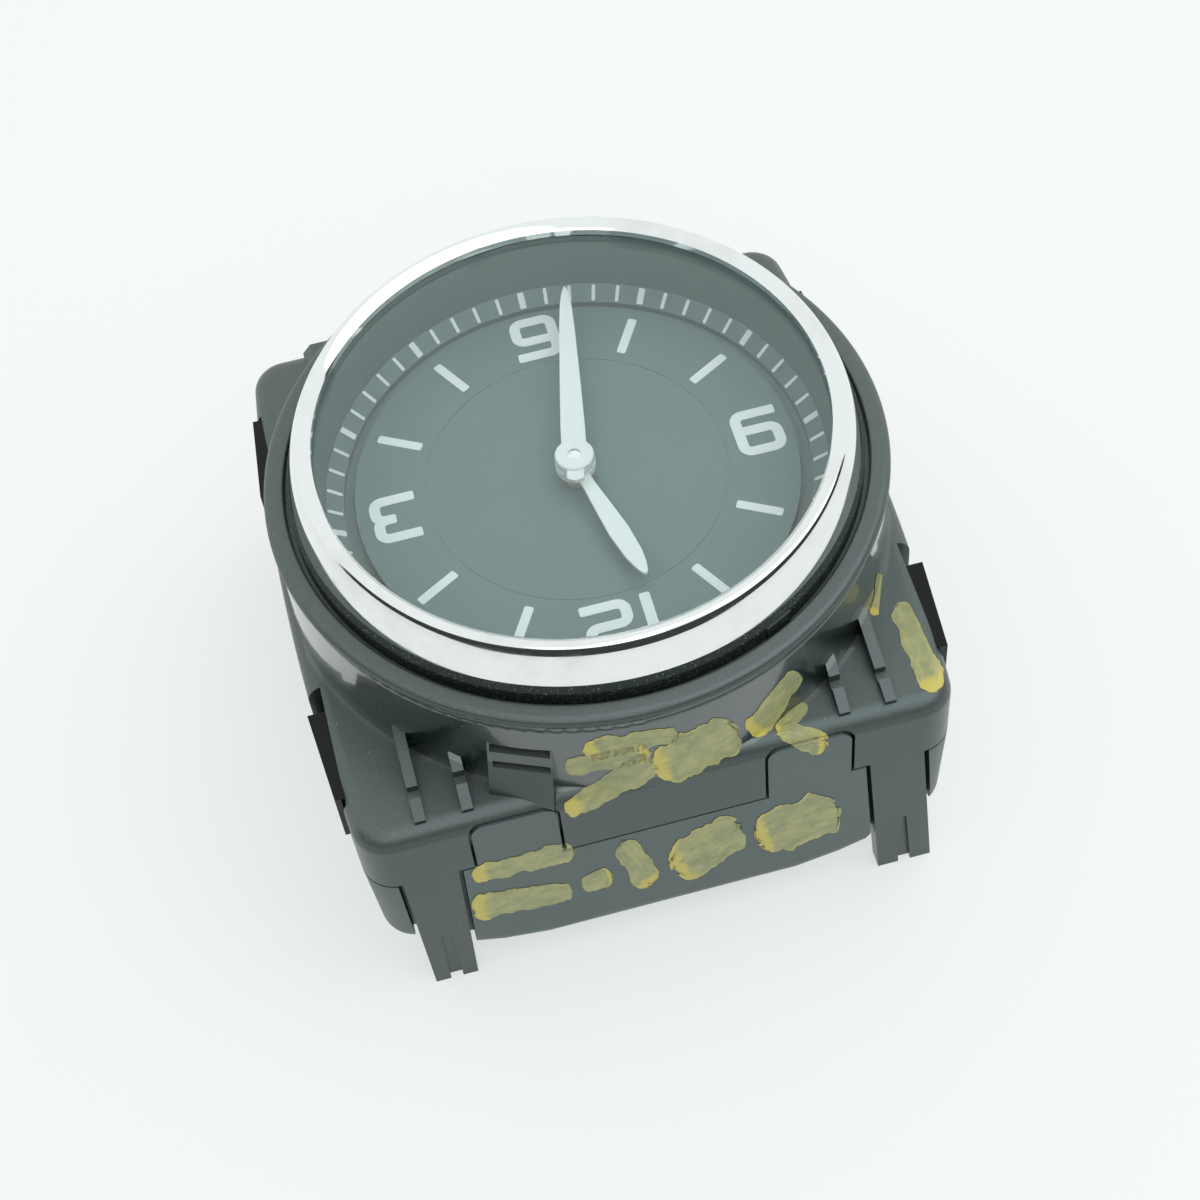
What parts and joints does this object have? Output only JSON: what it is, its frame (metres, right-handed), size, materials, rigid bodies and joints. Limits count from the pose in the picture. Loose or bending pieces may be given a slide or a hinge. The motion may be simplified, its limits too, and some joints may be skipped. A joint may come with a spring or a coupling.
{
  "type": "car dashboard clock",
  "caption": "Round analogue dashboard clock with a chrome bezel, white hands and a square black housing on snap legs, with its stepper movement, light guide and circuit board inside.",
  "frame": {"origin": "below the middle of the dial, level with the tips of the four legs", "axes": "+Z along the hands' arbors out of the dial, +Y towards twelve o'clock, +X towards three o'clock"},
  "size_m": [0.0726, 0.073, 0.0544],
  "materials": {
    "black_moulding": "satin",
    "chrome_plating": "polished",
    "gasket_rubber": "dusty",
    "lens_glass": "clear",
    "dial_black": "fine matt",
    "light_guide_acrylic": "clear",
    "white_moulding": "satin",
    "clip_steel": "gloss black",
    "board_laminate": "solder mask",
    "screw_steel": "plated",
    "socket_plastic": "moulded",
    "pin_brass": "tinned",
    "chip_epoxy": "moulded",
    "capacitor_can": "drawn",
    "lamp_resin": "moulded",
    "movement_moulding": "moulded",
    "brass_plate": "stamped",
    "stator_iron": "stamped",
    "copper_wire": "enamelled",
    "magnet_ferrite": "ground",
    "gear_plastic": "moulded",
    "arbor_steel": "ground",
    "hand_white": "matt white"
  },
  "bodies": {
    "clock_case": {"front_housing": "black_moulding", "rear_cover": "black_moulding", "chrome_bezel": "chrome_plating", "bezel_gasket": "gasket_rubber", "lens": "lens_glass", "dial_shroud": "dial_black", "minute_ring": "dial_black", "dial_plate": "dial_black", "light_guide": "light_guide_acrylic", "light_box": "white_moulding", "side_clips": "clip_steel", "circuit_board": "board_laminate", "board_screws": "screw_steel", "connector_header": "socket_plastic", "connector_pins": "pin_brass", "control_chip": "chip_epoxy", "bus_driver": "chip_epoxy", "voltage_regulator": "chip_epoxy", "filter_capacitors": "capacitor_can", "quartz_crystal": "capacitor_can", "chip_resistors": "chip_epoxy", "dial_lamps": "lamp_resin", "movement_base": "movement_moulding", "movement_cap": "movement_moulding", "movement_screws": "screw_steel", "centre_bridge": "brass_plate", "bridge_screws": "screw_steel", "stator_plate": "stator_iron", "coil_core": "stator_iron", "coil_bobbin": "white_moulding", "coil_winding": "copper_wire", "coil_pins": "pin_brass", "stator_screws": "screw_steel"},
    "minute_work": {"centre_arbor": "arbor_steel", "minute_wheel": "gear_plastic", "minute_hand": "hand_white"},
    "hour_work": {"hour_wheel": "gear_plastic", "hour_hand": "hand_white"},
    "motion_work": {"motion_wheel": "gear_plastic"},
    "third_work": {"third_wheel": "gear_plastic"},
    "second_work": {"second_wheel": "gear_plastic"},
    "rotor_work": {"rotor_magnet": "magnet_ferrite", "rotor_pinion": "gear_plastic"}
  },
  "joints": [
    {"name": "minute_spin", "type": "hinge", "parent": "clock_case", "child": "minute_work", "pos_m": [0, 0, 0.034], "axis": [0, 0, -1], "continuous": true},
    {"name": "hour_spin", "type": "hinge", "parent": "clock_case", "child": "hour_work", "pos_m": [0, 0, 0.034], "axis": [0, 0, -1], "continuous": true},
    {"name": "motion_spin", "type": "hinge", "parent": "clock_case", "child": "motion_work", "pos_m": [0.003, 0.0052, 0.034], "axis": [0, 0, -1], "continuous": true},
    {"name": "third_spin", "type": "hinge", "parent": "clock_case", "child": "third_work", "pos_m": [-0.00846, -0.00308, 0.034], "axis": [0, 0, -1], "continuous": true},
    {"name": "second_spin", "type": "hinge", "parent": "clock_case", "child": "second_work", "pos_m": [-0.00639, -0.01029, 0.034], "axis": [0, 0, -1], "continuous": true},
    {"name": "rotor_spin", "type": "hinge", "parent": "clock_case", "child": "rotor_work", "pos_m": [0.00046, -0.01251, 0.034], "axis": [0, 0, -1], "continuous": true}
  ],
  "couplings": [
    {"joint": "hour_spin", "follows": "minute_spin", "ratio": 0.083333},
    {"joint": "motion_spin", "follows": "minute_spin", "ratio": -0.33333},
    {"joint": "third_spin", "follows": "minute_spin", "ratio": -5},
    {"joint": "second_spin", "follows": "minute_spin", "ratio": 20},
    {"joint": "rotor_spin", "follows": "minute_spin", "ratio": -60}
  ]
}
